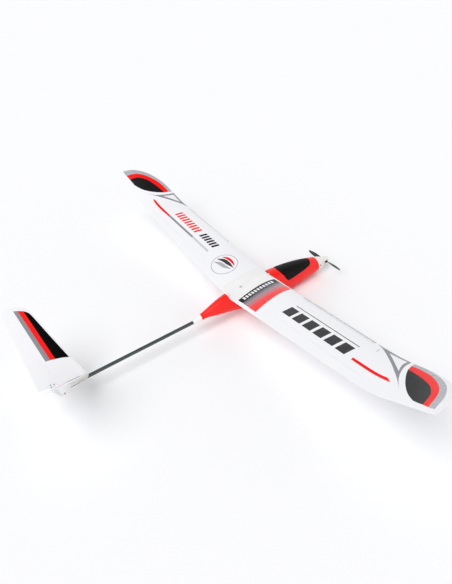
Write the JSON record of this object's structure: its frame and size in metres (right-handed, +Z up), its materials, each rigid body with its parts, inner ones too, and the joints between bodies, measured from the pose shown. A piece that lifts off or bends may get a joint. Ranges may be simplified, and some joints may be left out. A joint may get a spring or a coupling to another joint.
{
  "type": "rc sailplane",
  "caption": "Electric radio-controlled sailplane: foam pod and wing with ailerons, carbon tail boom, V-tail with ruddervators, folding propeller and lift-off canopy hatch.",
  "frame": {"origin": "on the flat belly skid, straight below the wing's leading edge at the centreline", "axes": "+X to the aircraft's left along the span, +Y towards the tail, +Z up"},
  "size_m": [1.796, 1.1848, 0.2841],
  "materials": {
    "white_foam": "moulded bead foam, satin",
    "red_foam": "painted moulded bead foam, satin",
    "black_foam": "painted moulded bead foam, satin",
    "white_plastic": "satin",
    "cream_plastic": "satin",
    "black_plastic": "satin",
    "carbon": "satin",
    "servo_case": "satin",
    "steel": "satin",
    "aluminium": "satin",
    "cell_wrap": "gloss",
    "electronics": "gloss",
    "plywood": "matte",
    "webbing": "matte"
  },
  "bodies": {
    "airframe": {"pod_shell_left": "red_foam", "pod_shell_right": "red_foam", "belly_skid": "black_plastic", "nose_cowl": "white_plastic", "motor_bulkhead": "plywood", "motor_stator": "steel", "equipment_tray": "plywood", "battery": "cell_wrap", "battery_strap": "webbing", "speed_controller": "electronics", "receiver": "electronics", "servo_shelf": "plywood", "tail_servo_left": "servo_case", "tail_servo_right": "servo_case", "bolt_plate": "plywood", "wing_centre": "white_plastic", "wing_bolt": "white_plastic", "wing_peg": "white_plastic", "wing_left": "white_foam", "wing_right": "white_foam", "wing_spars": "carbon", "servo_covers": "white_plastic", "aileron_servo_left": "servo_case", "aileron_servo_right": "servo_case", "boom_socket": "white_plastic", "tail_boom": "carbon", "tail_mount": "cream_plastic", "tail_panel_left": "white_foam", "tail_panel_right": "white_foam"},
    "propeller": {"motor_bell": "aluminium", "propeller_yoke": "black_plastic", "spinner": "white_plastic"},
    "hatch": {"canopy_hatch": "black_foam"},
    "blade_left": {"blade_left": "black_plastic"},
    "aileron_left": {"aileron_left": "white_foam", "aileron_horn_left": "white_plastic"},
    "aileron_link_left": {"aileron_rod_left": "steel", "aileron_clevis_left": "white_plastic"},
    "aileron_arm_left": {"aileron_servo_arm_left": "white_plastic"},
    "ruddervator_left": {"ruddervator_left": "white_foam", "tail_horn_left": "white_plastic", "horn_screws_left": "steel"},
    "tail_link_left": {"tail_rod_left": "carbon", "tail_clevis_left": "white_plastic"},
    "tail_arm_left": {"tail_servo_arm_left": "white_plastic"},
    "blade_right": {"blade_right": "black_plastic"},
    "aileron_right": {"aileron_right": "white_foam", "aileron_horn_right": "white_plastic"},
    "aileron_link_right": {"aileron_rod_right": "steel", "aileron_clevis_right": "white_plastic"},
    "aileron_arm_right": {"aileron_servo_arm_right": "white_plastic"},
    "ruddervator_right": {"ruddervator_right": "white_foam", "tail_horn_right": "white_plastic", "horn_screws_right": "steel"},
    "tail_link_right": {"tail_rod_right": "carbon", "tail_clevis_right": "white_plastic"},
    "tail_arm_right": {"tail_servo_arm_right": "white_plastic"}
  },
  "joints": [
    {"name": "propeller_spin", "type": "hinge", "parent": "airframe", "child": "propeller", "pos_m": [0, -0.2646, 0.035], "axis": [0, 1, 0], "continuous": true},
    {"name": "hatch_lift", "type": "slide", "parent": "airframe", "child": "hatch", "axis": [0, 0, 1], "range_m": [0, 0.06]},
    {"name": "blade_fold_left", "type": "hinge", "parent": "propeller", "child": "blade_left", "pos_m": [0.0125, -0.2646, 0.035], "axis": [0, 0, 1], "range_deg": [0, 46]},
    {"name": "aileron_left_deflect", "type": "hinge", "parent": "airframe", "child": "aileron_left", "pos_m": [0.242, 0.1424, 0.12516], "axis": [0.995, -0.005, 0.0993], "range_deg": [-22, 22]},
    {"name": "aileron_link_left_slide", "type": "slide", "parent": "airframe", "child": "aileron_link_left", "axis": [0, 1, 0], "range_m": [-0.0063, 0.0063]},
    {"name": "aileron_arm_left_turn", "type": "hinge", "parent": "airframe", "child": "aileron_arm_left", "pos_m": [0.34298, 0.06, 0.13533], "axis": [0.9948, 0, 0.1021], "range_deg": [-23, 23]},
    {"name": "ruddervator_left_deflect", "type": "hinge", "parent": "airframe", "child": "ruddervator_left", "pos_m": [0.00543, 0.837, 0.07794], "axis": [0.7477, 0.0839, 0.6587], "range_deg": [-12, 12]},
    {"name": "tail_link_left_slide", "type": "slide", "parent": "airframe", "child": "tail_link_left", "axis": [-0.0629, 0.9965, -0.0554], "range_m": [-0.0062, 0.0062]},
    {"name": "tail_arm_left_turn", "type": "hinge", "parent": "airframe", "child": "tail_arm_left", "pos_m": [0.008, 0.066, 0.05], "axis": [0, 0, 1], "range_deg": [-22.5, 22.5]},
    {"name": "blade_fold_right", "type": "hinge", "parent": "propeller", "child": "blade_right", "pos_m": [-0.0125, -0.2646, 0.035], "axis": [0, 0, -1], "range_deg": [0, 46]},
    {"name": "aileron_right_deflect", "type": "hinge", "parent": "airframe", "child": "aileron_right", "pos_m": [-0.242, 0.1424, 0.12516], "axis": [0.995, 0.005, -0.0993], "range_deg": [-22, 22]},
    {"name": "aileron_link_right_slide", "type": "slide", "parent": "airframe", "child": "aileron_link_right", "axis": [0, 1, 0], "range_m": [-0.0063, 0.0063]},
    {"name": "aileron_arm_right_turn", "type": "hinge", "parent": "airframe", "child": "aileron_arm_right", "pos_m": [-0.34298, 0.06, 0.13533], "axis": [0.9948, 0, -0.1021], "range_deg": [-23, 23]},
    {"name": "ruddervator_right_deflect", "type": "hinge", "parent": "airframe", "child": "ruddervator_right", "pos_m": [-0.00543, 0.837, 0.07794], "axis": [0.7477, -0.0839, -0.6587], "range_deg": [-12, 12]},
    {"name": "tail_link_right_slide", "type": "slide", "parent": "airframe", "child": "tail_link_right", "axis": [0.0629, 0.9965, -0.0554], "range_m": [-0.0062, 0.0062]},
    {"name": "tail_arm_right_turn", "type": "hinge", "parent": "airframe", "child": "tail_arm_right", "pos_m": [-0.008, 0.066, 0.05], "axis": [0, 0, -1], "range_deg": [-22.5, 22.5]}
  ],
  "couplings": [
    {"joint": "aileron_link_left_slide", "follows": "aileron_left_deflect", "m_per_rad": 0.01591},
    {"joint": "aileron_arm_left_turn", "follows": "aileron_left_deflect", "ratio": 0.9944},
    {"joint": "tail_link_left_slide", "follows": "ruddervator_left_deflect", "m_per_rad": 0.029033},
    {"joint": "tail_arm_left_turn", "follows": "ruddervator_left_deflect", "ratio": 1.8146},
    {"joint": "aileron_link_right_slide", "follows": "aileron_right_deflect", "m_per_rad": 0.01591},
    {"joint": "aileron_arm_right_turn", "follows": "aileron_right_deflect", "ratio": 0.9944},
    {"joint": "tail_link_right_slide", "follows": "ruddervator_right_deflect", "m_per_rad": 0.029033},
    {"joint": "tail_arm_right_turn", "follows": "ruddervator_right_deflect", "ratio": 1.8146}
  ]
}
